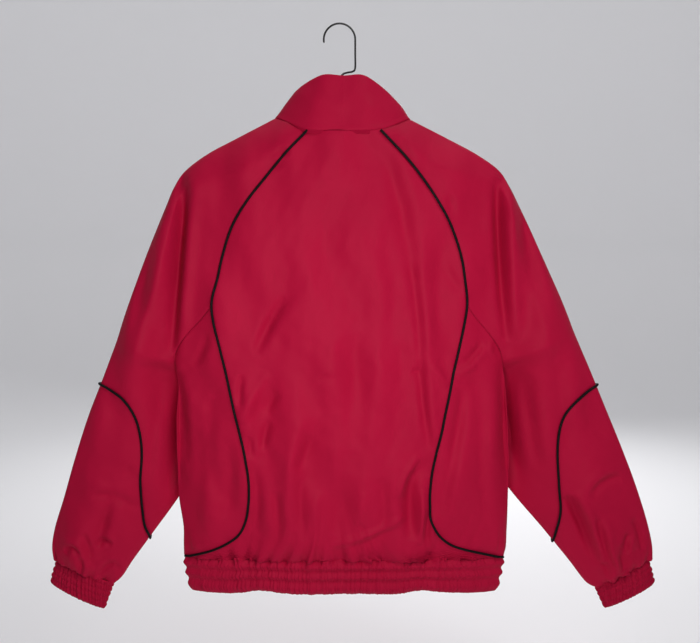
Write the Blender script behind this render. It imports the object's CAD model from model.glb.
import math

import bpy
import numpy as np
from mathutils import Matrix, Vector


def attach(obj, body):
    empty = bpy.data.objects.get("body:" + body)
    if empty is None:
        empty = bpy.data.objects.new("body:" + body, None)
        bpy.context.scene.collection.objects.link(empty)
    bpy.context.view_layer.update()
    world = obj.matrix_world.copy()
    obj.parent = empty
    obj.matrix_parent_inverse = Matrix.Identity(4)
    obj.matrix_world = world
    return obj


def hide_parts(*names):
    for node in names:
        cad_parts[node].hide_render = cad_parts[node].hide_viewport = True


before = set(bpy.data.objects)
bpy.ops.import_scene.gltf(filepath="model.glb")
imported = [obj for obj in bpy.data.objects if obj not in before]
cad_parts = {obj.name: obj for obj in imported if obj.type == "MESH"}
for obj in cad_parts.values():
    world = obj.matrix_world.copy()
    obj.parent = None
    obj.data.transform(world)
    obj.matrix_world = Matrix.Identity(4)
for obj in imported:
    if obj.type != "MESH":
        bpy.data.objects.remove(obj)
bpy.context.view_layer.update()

# A windbreaker on a plain hanger, seen from behind. The tables and the lengths are in millimetres, in the
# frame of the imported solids: +X is the wearer's right, +Y the wearer's front and +Z up, from the inner top
# of the hook. Every cloth piece is a grid of points from a function of two parameters, pressed in and out
# by the creases, the gathers and the rolled seams, and given its wall by Solidify.

MM = 0.001
CLOTH_WALL = 1.0
BAND_WALL = 1.6
COLLAR_WALL = 1.9
TAPE_WALL = 0.6
SEAM_GAP = 0.1
SEAM_ROLL = 0.6  # how far a panel's edge turns in at its seam
SEAM_ROLL_WIDTH = 2.2
ALLOWANCE = 6.0  # how far a panel's cloth goes on inside, behind its neighbour
ALLOWANCE_DEPTH = 1.4
PIPING_RADIUS = 1.95
PIPING_LIFT = 0.25
HEM_TOP = -840.0
HEM_BOTTOM = -897.0
HEM_OPENING = 0.0192  # half of the band's opening for the zip, as an angle of the trunk's ring
HEM_ROWS = (-858.0, -875.0)  # stitched rows
HEM_LIFTS = ((-131, 26, 6.0), (132, 30, 6.5))  # where the band's lower edge rises: X, width and height
CUFF_CHANNELS = 4
CUFF_MIDDLE_Y = 6.0
CUFF_TUCK = 0.2  # share of a cuff that goes on inside the sleeve
COLLAR_OVER = 1.8  # how far the collar's lower edge stands over the neck seam
NECK_HEIGHT = -160.0
UNDERARM_TOP = -424.0
ARMPIT = -518.0
ZIP_X = 6.0
ZIP_HALF_GAP = 7.0
ZIP_TOP = -146.0
ZIP_SUNK = 1.9  # from the fronts' outer face back to the tapes
TOOTH_PITCH = 2.6
SLIDER_TOP = -152.0
SLIDER_HEIGHT = 11.0
SLIDER_FRONT = 60.5
TAB_AXIS_Y = 62.5
TAB_AXIS_Z = -157.5
TAB_LENGTH = 30.6
TAB_BAR = 1.2  # thickness of the tab and height of its bar
TAB_WINDOW = 7.0
ARM_RADIUS = 6.5
HOOK_WIRE = 1.5
HOOK_RADIUS = 24.0
HOOK_TIP_TURN = 192  # degrees round the hook's arc, from the shank's side
RAGLAN_TURN_BACK = 0.24
RAGLAN_TURN_FRONT = 0.74
ARMPIT_SECTION = 12
CUFF_SECTION = 20
SLEEVE_STOPS = np.array([0, 3, 6, 10, 14, 17, 20], float)  # columns of a sleeve section's control points
LAST_COLUMN = 20.0
SEED = 11
CREASE_STRENGTH = 3.1
BACK_WAVES = 2.3  # height of the broad unevenness
FRONT_WAVES = 2.1

# Grids of the cloth: columns, the share of the way down at which the rows get closer, rows above and below
# it.
BACK_GRID = (210, 0.80, 125, 46)
SIDE_GRID = (96, 0.75, 70, 40)
FRONT_GRID = (76, 0.80, 92, 34)
FOREARM_GRID = (176, 0.6, 52, 50)
SLEEVE_GRID = (128, 88, 46)  # columns, rows above the armpit and rows below it
COLLAR_GRID = (88, 44)
HEM_GRID = (1001, 27)
CUFF_GRID = (301, 38)

TRUNK_COLUMNS = ("height", "left", "right", "back", "front")
TRUNK = (
    (-897, -241, 253, 17, 17),
    (-870, -248, 260, 21, 21),
    (-840, -252, 264, 24, 24),
    (-822, -254, 268, 31, 31),
    (-790, -254, 270, 34, 33),
    (-741, -260, 271, 36, 34),
    (-688, -261, 271, 37, 35),
    (-611, -261, 267, 37, 35),
    (-562, -257, 263, 37, 35),
    (-520, -262, 258, 37, 35),
    (-440, -259, 254, 37, 35),
    (-340, -249, 243, 38, 36),
    (-240, -238, 240, 40, 40),
    (-140, -236, 240, 44, 48),
)

BACK_SEAM_COLUMNS = ("height", "left", "right")
BACK_SEAM = (
    (-840, -251, 263),
    (-835, -241, 251),
    (-827, -220, 222),
    (-816, -192, 186),
    (-800, -166, 162),
    (-775, -151, 147),
    (-745, -145, 142),
    (-708, -144, 144),
    (-665, -149, 151),
    (-620, -158, 160),
    (-575, -168, 169),
    (-532, -177, 177),
    (-492, -186, 186),
    (-455, -194, 193),
    (-424, -197, 197),
    (-387, -188, 193),
    (-355, -181, 188),
    (-306, -164, 171),
    (-271, -143, 152),
    (-236, -116, 128),
    (-192, -78, 91),
    (-160, -46, 61),
)
RAGLAN_HEIGHTS = np.array([-160, -192, -228, -262, -295, -328, -360, -392, -424], float)

COLLAR_COLUMNS = ("turn", "seam_x", "seam_y", "seam_z", "rim_x", "rim_y", "rim_z")
COLLAR_LEFT = (
    (0.00, 6, -45, -163, 6, -43, -82),
    (0.26, -50, -41, -160, -30, -39, -82),
    (0.52, -98, 2, -140, -70, -2, -106),
    (0.74, -68, 41, -180, -48, 43, -131),
    (0.90, -26, 52, -206, -18, 55, -142),
    (1.00, 6, 54, -212, 6, 57, -145),
)
COLLAR_RIGHT = (
    (0.00, 6, -45, -163, 6, -43, -82),
    (0.26, 64, -41, -160, 42, -39, -83),
    (0.52, 108, 2, -142, 84, -2, -115),
    (0.74, 80, 41, -180, 60, 43, -131),
    (0.90, 38, 52, -206, 30, 55, -142),
    (1.00, 6, 54, -212, 6, 57, -145),
)

SLEEVE_TABLE_COLUMNS = (
    "section", "outer_x", "outer_z", "hollow_at", "hollow_depth", "crest_at", "crest_depth",
    "inner_x", "inner_z", "inner_y",
)
SLEEVE_LEFT = (
    (0, -98, -140, 0.40, 36, 0.80, 18, 0, 0, 0),
    (2, -163, -173, 0.40, 36, 0.82, 17, 0, 0, 0),
    (3, -205, -195, 0.50, 32, 0.84, 17, 0, 0, 0),
    (4, -240, -221, 0.66, 24, 0.88, 15, 0, 0, 0),
    (5, -258, -247, 0.74, 17, 0.89, 15, 0, 0, 0),
    (6, -270, -274, 0.68, 14, 0.86, 19, 0, 0, 0),
    (7, -284, -306, 0.60, 13, 0.82, 22, 0, 0, 0),
    (8, -301, -346, 0.52, 12, 0.78, 25, 0, 0, 0),
    (9, -317, -386, 0.42, 12, 0.73, 27, 0, 0, 0),
    (10, -331, -422, 0.30, 12, 0.68, 29, 0, 0, 0),
    (11, -343, -455, 0.20, 11, 0.64, 30, 0, 0, 0),
    (12, -353, -485, 0.17, 12, 0.62, 30, -262, -518, 0),
    (13, -364, -513, 0.20, 15, 0.62, 30, -255, -546, 25),
    (14, -378, -548, 0.20, 13, 0.66, 27, -232, -602, 40),
    (15, -403, -609, 0.22, 15, 0.66, 25, -224, -676, 42),
    (16, -426, -676, 0.26, 18, 0.66, 24, -262, -743, 32),
    (17, -446, -741, 0.30, 19, 0.68, 22, -309, -808, 20),
    (18, -462, -790, 0.30, 19, 0.70, 21, -340, -850, 12),
    (19, -467, -822, 0.30, 17, 0.70, 20, -358, -877, 8),
    (20, -461, -846, 0.30, 12, 0.70, 14, -374, -889, 6),
)
SLEEVE_RIGHT = (
    (0, 108, -142, 0.40, 36, 0.80, 18, 0, 0, 0),
    (2, 172, -174, 0.40, 36, 0.82, 17, 0, 0, 0),
    (3, 212, -195, 0.50, 32, 0.84, 17, 0, 0, 0),
    (4, 246, -219, 0.66, 24, 0.88, 15, 0, 0, 0),
    (5, 264, -245, 0.74, 17, 0.89, 15, 0, 0, 0),
    (6, 279, -274, 0.66, 14, 0.86, 19, 0, 0, 0),
    (7, 297, -310, 0.56, 13, 0.80, 22, 0, 0, 0),
    (8, 315, -348, 0.47, 12, 0.76, 25, 0, 0, 0),
    (9, 332, -384, 0.38, 12, 0.72, 27, 0, 0, 0),
    (10, 347, -416, 0.28, 12, 0.68, 29, 0, 0, 0),
    (11, 359, -444, 0.20, 11, 0.64, 30, 0, 0, 0),
    (12, 369, -469, 0.17, 12, 0.62, 30, 258, -518, 0),
    (13, 381, -496, 0.20, 15, 0.62, 30, 254, -546, 25),
    (14, 399, -536, 0.20, 13, 0.66, 27, 236, -602, 40),
    (15, 424, -594, 0.22, 15, 0.66, 25, 236, -676, 42),
    (16, 450, -654, 0.26, 18, 0.66, 24, 280, -738, 32),
    (17, 475, -716, 0.30, 19, 0.68, 22, 331, -797, 20),
    (18, 496, -778, 0.30, 19, 0.70, 21, 374, -849, 12),
    (19, 505, -820, 0.30, 17, 0.70, 20, 403, -886, 8),
    (20, 502, -846, 0.30, 12, 0.70, 14, 418, -890, 6),
)

FOREARM_COLUMNS = ("way_out", "left", "right")
FOREARM = (
    (0.00, 17.16, 17.42),
    (0.08, 17.02, 17.32),
    (0.15, 16.88, 17.14),
    (0.25, 16.54, 16.82),
    (0.34, 16.22, 16.44),
    (0.41, 15.84, 16.06),
    (0.46, 15.40, 15.70),
    (0.50, 15.04, 15.40),
    (0.53, 14.74, 15.16),
    (0.57, 14.50, 14.90),
    (0.66, 14.26, 14.60),
    (0.75, 14.18, 14.46),
    (0.85, 14.14, 14.40),
    (1.00, 14.14, 14.38),
)

ARM = (
    (-226, -227), (-200, -206), (-158, -185), (-95, -153), (-45, -131), (2, -120), (52, -131), (105, -155),
    (167, -186), (207, -206), (236, -226),
)
HOOK_SHANK = ((24, -45), (24, -64), (21, -69.5), (12, -71.5), (5, -74), (2, -80), (2, -95), (2, -113))

CUFF_COLUMNS = ("outer_x", "outer_z", "inner_x", "inner_z", "depth")
CUFF_LEFT = (
    (-462, -850, -375, -893, 11),
    (-468, -868, -382, -911, 14),
    (-473, -887, -389, -930, 12),
)
CUFF_RIGHT = (
    (503, -850, 419, -894, 11),
    (509, -869, 427, -911, 14),
    (513, -888, 435, -929, 12),
)

HEM_COLUMNS = ("height", "out")
HEM = ((-840.5, 0.0), (-849, 2.2), (-858, 0.2), (-867, 2.0), (-875, 0.2), (-886, 2.2), (-897, 0.6))

# The broad troughs of the solids' back: X and Z of both ends, width and depth.
FOLDS = (
    (72, -190, 118, -420, 26, 4.0),
    (118, -420, 104, -640, 24, 3.0),
    (-82, -410, -128, -540, 20, 3.5),
    (112, -740, 106, -815, 13, 4.0),
    (-120, -600, -118, -700, 18, 2.5),
)

# Creases: each is a curve through three points of X and Z, with its width, its depth and its lean. Depth is
# how far it presses in; a ridge has a negative one. Lean is the share of the depth that stands up beside
# it.
BACK_CREASES = (
    (69, -190, 98, -300, 112, -390, 13, 2.4, 0.7),
    (108, -357, 120, -440, 128, -547, 8, 1.9, 0.8),
    (125, -512, 130, -580, 142, -655, 7, 2.2, 0.9),
    (74, -281, 80, -380, 81, -473, 15, 1.2, 0.3),
    (-84, -414, -112, -462, -131, -504, 8, 2.4, 0.8),
    (-98, -562, -108, -580, -117, -594, 7, 1.4, 0.5),
    (-109, -610, -118, -632, -122, -655, 6, 1.5, 0.6),
    (-152, -536, -156, -562, -156, -586, 6, 1.6, 0.6),
    (-139, -634, -141, -650, -139, -667, 6, 1.4, 0.6),
    (-138, -675, -131, -736, -135, -793, 9, 2.2, 0.7),
    (14, -473, 30, -575, 14, -690, 22, 2.0, 0.3),
    (16, -655, 8, -725, -8, -793, 17, 1.8, 0.4),
    (-44, -631, -54, -660, -68, -687, 8, 1.2, 0.6),
    (-35, -542, -21, -539, -7, -542, 5, 0.5, 0.4),
    (114, -687, 110, -740, 115, -800, 11, 3.2, 0.8),
    (143, -752, 138, -790, 143, -822, 5, 1.8, 0.6),
    (112, -528, 118, -531, 125, -536, 5, 1.0, 0.4),
    (165, -365, 175, -388, 188, -403, 8, 1.0, 0.4),
    (-113, -531, -137, -575, -153, -610, 9, -1.7, 0.5),
    (-47, -594, -76, -675, -79, -793, 13, -2.0, 0.5),
    (-31, -720, -38, -748, -40, -777, 9, -0.9, 0.4),
    (40, -720, 34, -748, 32, -777, 10, -1.0, 0.3),
    (126, -663, 104, -698, 95, -731, 6, -2.0, 0.6),
    (103, -760, 50, -790, -16, -812, 6, -1.7, 0.7),
    (130, -720, 131, -765, 127, -810, 6, -1.8, 0.5),
    (143, -520, 156, -536, 167, -555, 6, -1.3, 0.6),
    (-60, -700, -62, -745, -56, -800, 8, 1.3, 0.5),
    (62, -700, 70, -745, 66, -800, 9, 1.4, 0.5),
    (-105, -720, -98, -760, -102, -812, 8, 1.5, 0.6),
    (158, -330, 150, -400, 158, -470, 13, 1.1, 0.4),
    (-20, -240, -28, -330, -24, -430, 24, 0.9, 0.3),
)
SIDE_CREASES = (
    (183, -536, 198, -528, 214, -521, 6, -1.8, 0.7),
    (192, -555, 184, -630, 158, -770, 9, 2.2, 0.7),
    (222, -486, 212, -502, 196, -517, 5, 1.8, 0.8),
    (236, -486, 237, -496, 236, -506, 6, -1.2, 0.4),
    (214, -540, 222, -620, 218, -720, 14, 1.4, 0.4),
    (232, -600, 226, -700, 236, -790, 10, 1.2, 0.5),
    (-205, -470, -216, -500, -232, -525, 7, 1.4, 0.6),
    (-196, -560, -206, -640, -196, -740, 12, 1.4, 0.5),
    (-228, -590, -222, -690, -232, -790, 11, 1.2, 0.5),
    (-176, -640, -172, -700, -182, -770, 10, 1.2, 0.5),
)
SLEEVE_CREASES = (
    (-236, -229, -251, -351, -266, -510, 8, 5.2, 0.7),
    (243, -232, 248, -331, 262, -485, 8, 6.0, 0.7),
    (-291, -336, -309, -419, -327, -500, 10, 1.2, 0.4),
    (282, -288, 299, -360, 323, -450, 12, 1.6, 0.4),
    (-283, -546, -298, -627, -303, -708, 9, 1.6, 0.5),
    (290, -533, 304, -610, 319, -692, 10, 1.8, 0.5),
    (-264, -530, -267, -640, -280, -760, 16, 7.5, 0.0),
    (266, -520, 276, -640, 290, -760, 16, 7.5, 0.0),
    (-94, -188, -84, -194, -74, -196, 5, 1.3, 0.6),
    (-104, -210, -92, -212, -84, -208, 5, 1.2, 0.6),
    (84, -168, 98, -188, 114, -213, 8, 1.6, 0.6),
    (164, -258, 170, -272, 170, -290, 6, 1.2, 0.6),
    (279, -296, 292, -390, 300, -487, 15, 2.0, 0.5),
    (-250, -300, -258, -380, -262, -470, 14, 1.8, 0.5),
    (-292, -520, -286, -600, -272, -680, 12, 1.8, 0.5),
    (-256, -560, -248, -620, -246, -680, 9, 1.4, 0.5),
    (300, -540, 306, -620, 322, -700, 12, 1.8, 0.5),
    (272, -600, 276, -650, 292, -706, 9, 1.4, 0.5),
    (340, -520, 356, -600, 366, -660, 12, 1.3, 0.4),
    (-396, -732, -362, -738, -331, -760, 6, 1.5, 0.9),
    (-368, -742, -384, -786, -400, -838, 9, 2.0, 0.6),
    (-392, -820, -382, -812, -370, -820, 5, 2.2, 0.7),
    (-345, -690, -335, -700, -322, -706, 6, 1.2, 0.4),
    (401, -736, 424, -712, 452, -708, 7, 1.9, 0.9),
    (365, -736, 386, -776, 416, -850, 8, 4.4, 0.8),
    (412, -770, 424, -812, 446, -864, 6, 2.7, 0.7),
    (450, -812, 460, -840, 464, -864, 7, 2.4, 0.5),
    (430, -800, 436, -830, 452, -858, 5, -1.6, 0.4),
    (-442, -829, -430, -819, -419, -834, 5, 2.0, 0.7),
    (-419, -834, -417, -849, -419, -864, 5, 1.9, 0.7),
    (-393, -871, -376, -853, -367, -853, 5, 1.9, 0.7),
    (-367, -853, -362, -859, -361, -871, 5, 1.8, 0.6),
    (-412, -794, -406, -821, -404, -851, 6, 1.9, 0.5),
    (423, -844, 431, -856, 433, -871, 5, 2.2, 0.7),
    (448, -827, 453, -841, 455, -858, 5, 2.0, 0.7),
    (466, -797, 460, -812, 464, -829, 5, 1.9, 0.6),
    (472, -774, 482, -797, 488, -827, 5, 1.6, 0.5),
    (-236, -215, -246, -240, -252, -275, 6, 1.4, 0.6),
    (244, -215, 254, -240, 262, -275, 6, 1.4, 0.6),
)
FRONT_CREASES = (
    (-70, -240, -110, -340, -120, -470, 14, 2.2, 0.6),
    (80, -240, 116, -350, 128, -480, 15, 2.4, 0.6),
    (-150, -440, -120, -520, -116, -620, 10, 2.0, 0.7),
    (150, -430, 128, -520, 120, -640, 11, 2.2, 0.7),
    (-50, -380, -58, -500, -46, -620, 16, 1.8, 0.5),
    (54, -420, 62, -540, 50, -680, 16, 1.8, 0.5),
    (-90, -640, -84, -720, -92, -810, 10, 2.0, 0.6),
    (96, -620, 88, -710, 98, -806, 10, 2.0, 0.6),
    (-200, -560, -190, -660, -196, -780, 12, 1.8, 0.5),
    (208, -560, 196, -660, 204, -780, 12, 1.8, 0.5),
    (-150, -700, -142, -750, -148, -812, 8, 1.6, 0.6),
    (156, -700, 150, -750, 158, -812, 8, 1.6, 0.6),
    (-286, -330, -300, -420, -310, -500, 14, 1.8, 0.5),
    (300, -330, 314, -420, 322, -500, 14, 1.8, 0.5),
    (-270, -560, -280, -630, -300, -700, 11, 1.6, 0.5),
    (284, -560, 296, -630, 318, -700, 11, 1.6, 0.5),
    (-396, -730, -376, -742, -350, -748, 5, 2.0, 0.8),
    (430, -726, 412, -736, 388, -744, 5, 2.0, 0.8),
    (-380, -760, -400, -810, -412, -850, 8, 2.0, 0.6),
    (398, -760, 424, -806, 444, -856, 8, 2.0, 0.6),
    (-90, -190, -110, -225, -140, -250, 8, 1.4, 0.6),
    (98, -190, 120, -225, 150, -250, 8, 1.4, 0.6),
)


def column(table, names, name):
    return np.array([row[names.index(name)] for row in table], float)


def hermite(t, step, start, start_slope, end, end_slope):
    """The cubic from start to end with these slopes, read at the share t of the step between them."""
    a, b = (2 * t**3 - 3 * t**2 + 1), (t**3 - 2 * t**2 + t) * step
    c, d = (3 * t**2 - 2 * t**3), (t**3 - t**2) * step
    return a * start + b * start_slope + c * end + d * end_slope


def curve_through(x, xs, ys):
    """The smooth curve through (xs, ys) read at x: cubic pieces whose slope at a point is the mean of the
    slopes on its two sides."""
    slopes = np.diff(ys, axis=0) / np.diff(xs).reshape((-1,) + (1,) * (np.ndim(ys) - 1))
    tangents = np.concatenate([slopes[:1], (slopes[1:] + slopes[:-1]) / 2, slopes[-1:]])
    x = np.clip(x, xs[0], xs[-1])
    i = np.clip(np.searchsorted(xs, x) - 1, 0, len(xs) - 2)
    step = xs[i + 1] - xs[i]
    t = (x - xs[i]) / step
    if np.ndim(ys) > 1:
        shape = np.shape(t) + (1,) * (np.ndim(ys) - 1)
        t, step = np.reshape(t, shape), np.reshape(step, shape)
    return hermite(t, step, ys[i], tangents[i], ys[i + 1], tangents[i + 1])


def curve_points(points, count):
    """The smooth curve through the points as count points, with even steps from one given point to the
    next."""
    return curve_through(np.linspace(0, len(points) - 1, count), np.arange(len(points), dtype=float), points)


def path_length(path):
    """The length along a path from its start to each of its points."""
    return np.concatenate([[0], np.cumsum(np.linalg.norm(np.diff(path, axis=0), axis=1))])


def read(table, names, name, at, key="height"):
    return curve_through(at, column(table, names, key), column(table, names, name))


def smooth(t):
    """0 below 0, 1 above 1, and an even S between."""
    t = np.clip(t, 0, 1)
    return t * t * (3 - 2 * t)


def side_name(side):
    return "left" if side < 0 else "right"


# ---------------------------------------------------------------- relief of the cloth


def crease_height(x, z, table):
    """How far the creases lift the cloth at x and z: each is a soft trough along its curve, fading at both
    ends, with a lower ridge along one side."""
    total = np.zeros(x.shape)
    for from_x, from_z, mid_x, mid_z, to_x, to_z, width, depth, lean in table:
        start, middle, end = np.array([[from_x, from_z], [mid_x, mid_z], [to_x, to_z]], float)
        t = np.linspace(0, 1, 13)[:, None]
        path = start * (1 - t) * (1 - 2 * t) + middle * 4 * t * (1 - t) + end * t * (2 * t - 1)
        low, high = path.min(0) - 4.5 * width, path.max(0) + 4.5 * width
        near = (x > low[0]) & (x < high[0]) & (z > low[1]) & (z < high[1])
        if not near.any():
            continue
        px, pz = x[near][:, None], z[near][:, None]
        way = np.diff(path, axis=0)
        length2 = (way**2).sum(1)
        rx, rz = px - path[:-1, 0], pz - path[:-1, 1]
        along = np.clip((rx * way[:, 0] + rz * way[:, 1]) / length2, 0, 1)
        distance = np.hypot(rx - along * way[:, 0], rz - along * way[:, 1])
        nearest = distance.argmin(1)
        pick = (np.arange(len(nearest)), nearest)
        signed = (rz * way[:, 0] - rx * way[:, 1])[pick] / np.sqrt(length2)[nearest]
        signed = np.sign(signed) * distance[pick]
        at = (along[pick] + nearest) / len(way)
        fade = np.sin(np.pi * np.clip(at, 0, 1)) ** 0.6
        trough = np.exp(-((signed / width) ** 2))
        ridge = np.exp(-(((signed - 1.9 * width) / (1.4 * width)) ** 2))
        total[near] += CREASE_STRENGTH * depth * fade * (lean * 0.6 * ridge - trough)
    return total


def undulation(x, z, seed, count, shortest, longest, height, upright=0.45):
    """Gentle unevenness: the sum of cosine waves of random length and direction, most of them upright
    folds."""
    random = np.random.default_rng(seed)
    total = np.zeros(x.shape)
    for _ in range(count):
        wave = 2 * np.pi / np.exp(random.uniform(np.log(shortest), np.log(longest)))
        turn = random.normal(0, upright)
        phase = random.uniform(0, 2 * np.pi)
        total += height * np.sqrt(2 / count) * np.cos(wave * (x * np.cos(turn) + z * np.sin(turn)) + phase)
    return total


def path_place(x, z, path):
    """For each point the distance to a line of X and Z and how far along that line its nearest point
    lies."""
    way = np.diff(path, axis=0)
    length = np.hypot(way[:, 0], way[:, 1])
    start = np.concatenate([[0], np.cumsum(length)])[:-1]
    best = np.full(x.shape, 1e9)
    place = np.zeros(x.shape)
    for (ax, az), (wx, wz), size, begun in zip(path[:-1], way, length, start):
        along = np.clip(((x - ax) * wx + (z - az) * wz) / size**2, 0, 1)
        distance = np.hypot(x - ax - along * wx, z - az - along * wz)
        closer = distance < best
        best = np.where(closer, distance, best)
        place = np.where(closer, begun + along * size, place)
    return best, place


def seam_pucker(x, z, path, spacing, height, reach):
    """The small ripples that cross a corded seam, uneven in height along it, fading away from it."""
    distance, place = path_place(x, z, path)
    phase = 2 * np.pi * (place / spacing + 0.5 * np.sin(place / 29) + 0.35 * np.sin(place / 11 + 1))
    uneven = 0.45 + 0.55 * np.sin(place / 47 + 2) * np.sin(place / 83)
    return height * uneven * np.sin(phase) * np.exp(-((distance / reach) ** 2))


def back_seam_line(side):
    z = np.linspace(NECK_HEIGHT, HEM_TOP, 60)
    return np.stack([back_seam(side, z), z], -1)


def cloth_relief(x, z, creases, seed, waves, seams):
    """The creases, broad and fine unevenness and the ripples across the corded seams, each a line and a
    spacing."""
    total = crease_height(x, z, creases)
    total += undulation(x, z, seed, 16, 60, 190, waves)
    total += undulation(x, z, seed + 1, 20, 20, 50, 0.22, upright=0.9)
    for line, spacing in seams:
        total += seam_pucker(x, z, line, spacing, height=0.5, reach=9)
    return total


def back_relief(x, z):
    seams = [seam for side in (-1, 1) for seam in ((back_seam_line(side), 12), (forearm_line(side), 11))]
    return cloth_relief(x, z, BACK_CREASES + SIDE_CREASES + SLEEVE_CREASES, SEED, BACK_WAVES, seams)


def front_relief(x, z):
    seams = [(forearm_line(side), 11) for side in (-1, 1)]
    return cloth_relief(x, z, FRONT_CREASES, SEED + 2, FRONT_WAVES, seams)


def ripple(place, spacing, drift, seed, sharp=False):
    """Uneven gathers along a line: a wave of roughly the spacing whose length and height wander. Sharp ones
    are rounded ribs with narrow valleys."""
    random = np.random.default_rng(seed)
    phase = 2 * np.pi * place / spacing
    height = np.ones(place.shape)
    for _ in range(5):
        wave = random.uniform(0.12, 0.55) / spacing
        phase = phase + drift * np.sin(2 * np.pi * wave * place + random.uniform(0, 6.3))
        height = height + 0.24 * np.sin(2 * np.pi * wave * 1.7 * place + random.uniform(0, 6.3))
    shape = 2 * np.abs(np.sin(phase / 2)) ** 0.7 - 1 if sharp else np.sin(phase)
    return shape * np.clip(height, 0.15, 2)


def ring_place(turn):
    """The length along the hem's ring from the middle of the back to an angle of the ring, with its
    sign."""
    angle = np.linspace(0, np.pi, 721)
    ring = trunk_point(angle, np.full_like(angle, HEM_TOP), 1)
    return np.sign(turn) * np.interp(np.abs(turn), angle, path_length(ring))


def hem_gather(turn, z):
    """The gathers that the elastic pulls into the panels above the hem band: ripples, every one of its own
    height and lean, that fade upwards from the band and at the side edges. Just above the band the cloth
    puffs out over it."""
    place = ring_place(turn)
    above = np.maximum(z - HEM_TOP, 0)
    leaning = place + above * 0.4 * np.sin(place / 43 + 0.6)
    small = ripple(leaning, 12.0, 0.7, SEED + 4, sharp=True)
    large = ripple(leaning, 29.0, 0.8, SEED + 5)
    reach = 15 + 7 * np.sin(place / 31 + 1) + 5 * np.sin(place / 13)
    side = 0.25 + 0.75 * np.abs(np.cos(turn)) ** 0.5
    puff = 2.0 * smooth(above / 5) * np.exp(-above / 24)
    small = 2.4 * small * np.exp(-above / reach)
    return side * (puff + small + 4.0 * large * np.exp(-((above / 30) ** 1.3)))


# ---------------------------------------------------------------- the garment's surfaces


def fold_depth(x, z):
    """The broad troughs of the solids' back."""
    total = np.zeros(np.broadcast(x, z).shape)
    for from_x, from_z, to_x, to_z, width, depth in FOLDS:
        way = np.array([to_x - from_x, to_z - from_z], float)
        length = np.hypot(*way)
        along = ((x - from_x) * way[0] + (z - from_z) * way[1]) / length**2
        across = ((x - from_x) * way[1] - (z - from_z) * way[0]) / length
        past = np.maximum(np.abs(along - 0.5) - 0.5, 0) * length
        total += depth * np.exp(-((across / width) ** 2) - (past / (1.5 * width)) ** 2)
    return total


def trunk_middle(z):
    return (read(TRUNK, TRUNK_COLUMNS, "left", z) + read(TRUNK, TRUNK_COLUMNS, "right", z)) / 2


def trunk_half(z):
    return (read(TRUNK, TRUNK_COLUMNS, "right", z) - read(TRUNK, TRUNK_COLUMNS, "left", z)) / 2


def trunk_turn(x, z):
    share = np.clip(np.abs(x - trunk_middle(z)) / trunk_half(z), 0, 1)
    return np.arcsin(share**1.1)


def trunk_point(turn, z, side):
    """The trunk's ring at height z: turn runs from 0 at the back through a right angle at the side edge to
    180 degrees at the front, on one side."""
    x = trunk_middle(z) + side * trunk_half(z) * np.sin(turn) ** (1 / 1.1)
    back = read(TRUNK, TRUNK_COLUMNS, "back", z)
    front = read(TRUNK, TRUNK_COLUMNS, "front", z)
    y = np.where(turn < np.pi / 2, -back, front) * np.abs(np.cos(turn))
    inward = np.where(turn < np.pi / 2, 1, 0) * np.abs(np.cos(turn)) * fold_depth(x, z)
    return np.stack(np.broadcast_arrays(x, y + inward, z), -1)


def trunk_at(turn, z):
    """The trunk's ring on both sides: turn is negative on the left."""
    around = np.abs(turn)
    return np.where((turn < 0)[..., None], trunk_point(around, z, -1), trunk_point(around, z, 1))


def ring_outward(turn):
    return np.stack([np.sin(turn), -np.cos(turn), np.zeros_like(turn)], -1)


def collar_line(turns, side, which):
    """The neck seam or the rim. Towards the zip its X is moved out to the edge of the zip's opening."""
    table = COLLAR_LEFT if side < 0 else COLLAR_RIGHT
    key = column(table, COLLAR_COLUMNS, "turn")
    line = np.stack(
        [curve_through(turns, key, column(table, COLLAR_COLUMNS, f"{which}_{axis}")) for axis in "xyz"], -1
    )
    opened = np.clip((turns - RAGLAN_TURN_FRONT) / (1 - RAGLAN_TURN_FRONT), 0, 1) ** 3
    line[..., 0] += side * ZIP_HALF_GAP * opened
    return line


def back_seam(side, heights):
    return read(BACK_SEAM, BACK_SEAM_COLUMNS, side_name(side), np.asarray(heights, float))


def front_seam(side, z):
    return back_seam(side, UNDERARM_TOP) + side * 10 * (UNDERARM_TOP - z) / (UNDERARM_TOP - HEM_TOP)


NECK_PULL_BACK = (np.array([-262.0, -228.0, -192.0, -160.0]), np.array([0.0, 0.08, 0.35, 1.0]))


def back_base(share, height):
    """The back panel: share runs from the left piped seam to the right one along a level ring of the trunk.
    Near the neck the points are drawn to the neck seam."""
    def plain(height):
        left = trunk_turn(back_seam(-1, height), height)
        right = trunk_turn(back_seam(1, height), height)
        turn = -left + share * (left + right)
        return trunk_at(turn, np.broadcast_to(height, turn.shape)), turn

    points, turn = plain(height)
    top, _ = plain(np.full_like(height, NECK_HEIGHT))
    neck_turn = np.abs(share - 0.5) * 2 * RAGLAN_TURN_BACK
    neck = np.where(
        (share < 0.5)[..., None], collar_line(neck_turn, -1, "seam"), collar_line(neck_turn, 1, "seam")
    )
    pull = curve_through(height, *NECK_PULL_BACK)[..., None]
    return points + pull * (neck - top), turn


def side_base(side, share, down):
    """A side panel: share runs from the piped seam round the side edge to the front's side seam. The top
    edge drops to the armpit at the side edge."""
    from_side = np.abs(2 * share - 1)
    top = UNDERARM_TOP - (UNDERARM_TOP - ARMPIT) * (1 - from_side) ** 0.8
    z = top + down * (HEM_TOP - top)
    back = trunk_turn(back_seam(side, z), z)
    front = np.pi - trunk_turn(front_seam(side, z), z)
    half = np.pi / 2
    turn = np.where(share < 0.5, half - from_side * (half - back), half + from_side * (front - half))
    return trunk_point(turn, z, side), side * turn


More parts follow.
